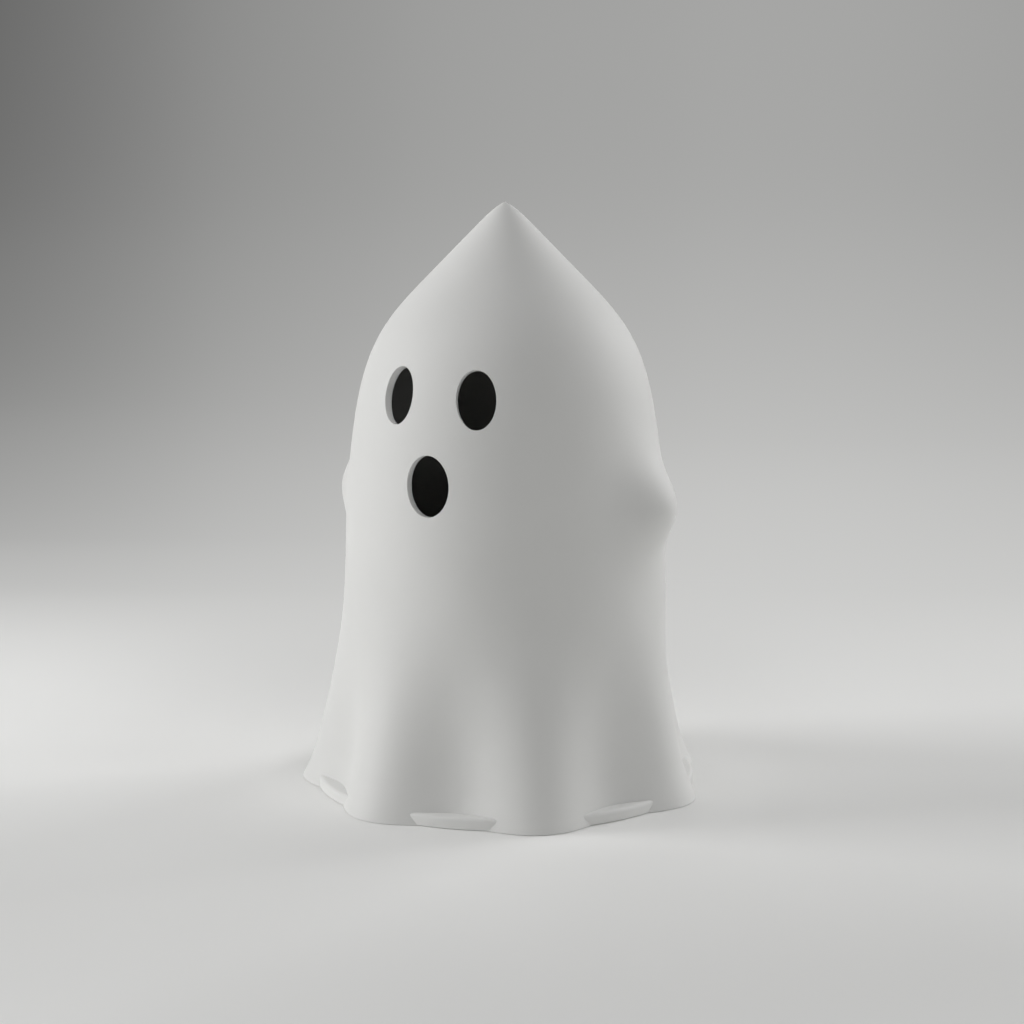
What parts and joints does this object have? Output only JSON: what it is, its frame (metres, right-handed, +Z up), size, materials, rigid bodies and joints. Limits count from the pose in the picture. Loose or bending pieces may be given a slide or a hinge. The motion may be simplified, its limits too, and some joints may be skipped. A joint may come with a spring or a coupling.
{
  "type": "ghost lantern",
  "caption": "Sheet-draped ghost figure with cut-out eyes and mouth, a hollow white shell that lifts off a round base plate holding a battery tea light.",
  "frame": {"origin": "on the floor under the figure's axis, at the level of the feet's undersides", "axes": "+Z up through the figure's tip, -Y out of its face, +X to the right as one looks along +Y at it"},
  "size_m": [0.1056, 0.1045, 0.15],
  "materials": {
    "ghost_white": "matte",
    "foot_rubber": "matte",
    "wax_plastic": "satin",
    "flame_plastic": "satin",
    "lamp_epoxy": "gloss",
    "steel": "satin",
    "contact_brass": "satin",
    "knob_black": "matte"
  },
  "bodies": {
    "base": {"base_plate": "ghost_white", "foot_back_right": "foot_rubber", "foot_back_left": "foot_rubber", "foot_front_left": "foot_rubber", "foot_front_right": "foot_rubber"},
    "ghost": {"ghost_shell": "ghost_white"},
    "candle": {"candle_cup": "wax_plastic", "candle_base": "wax_plastic", "candle_top": "wax_plastic", "flame_lens": "flame_plastic", "led_lamp": "lamp_epoxy", "led_anode_lead": "steel", "led_cathode_lead": "steel", "coin_cell": "steel", "contact_positive": "contact_brass", "contact_negative": "contact_brass", "contact_lamp": "contact_brass", "door_hinge_pin": "steel"},
    "switch": {"switch_knob": "knob_black", "switch_wiper": "contact_brass"},
    "door": {"battery_door": "wax_plastic"}
  },
  "joints": [
    {"name": "shell_lift", "type": "slide", "parent": "base", "child": "ghost", "axis": [0, 0, 1], "range_m": [0, 0.07]},
    {"name": "candle_lift", "type": "slide", "parent": "base", "child": "candle", "axis": [0, 0, 1], "range_m": [0, 0.025]},
    {"name": "switch_slide", "type": "slide", "parent": "candle", "child": "switch", "axis": [1, 0, 0], "range_m": [0, 0.003]},
    {"name": "door_hinge", "type": "hinge", "parent": "candle", "child": "door", "pos_m": [0, 0.0062, 0.004], "axis": [1, 0, 0], "range_deg": [0, 95]}
  ]
}
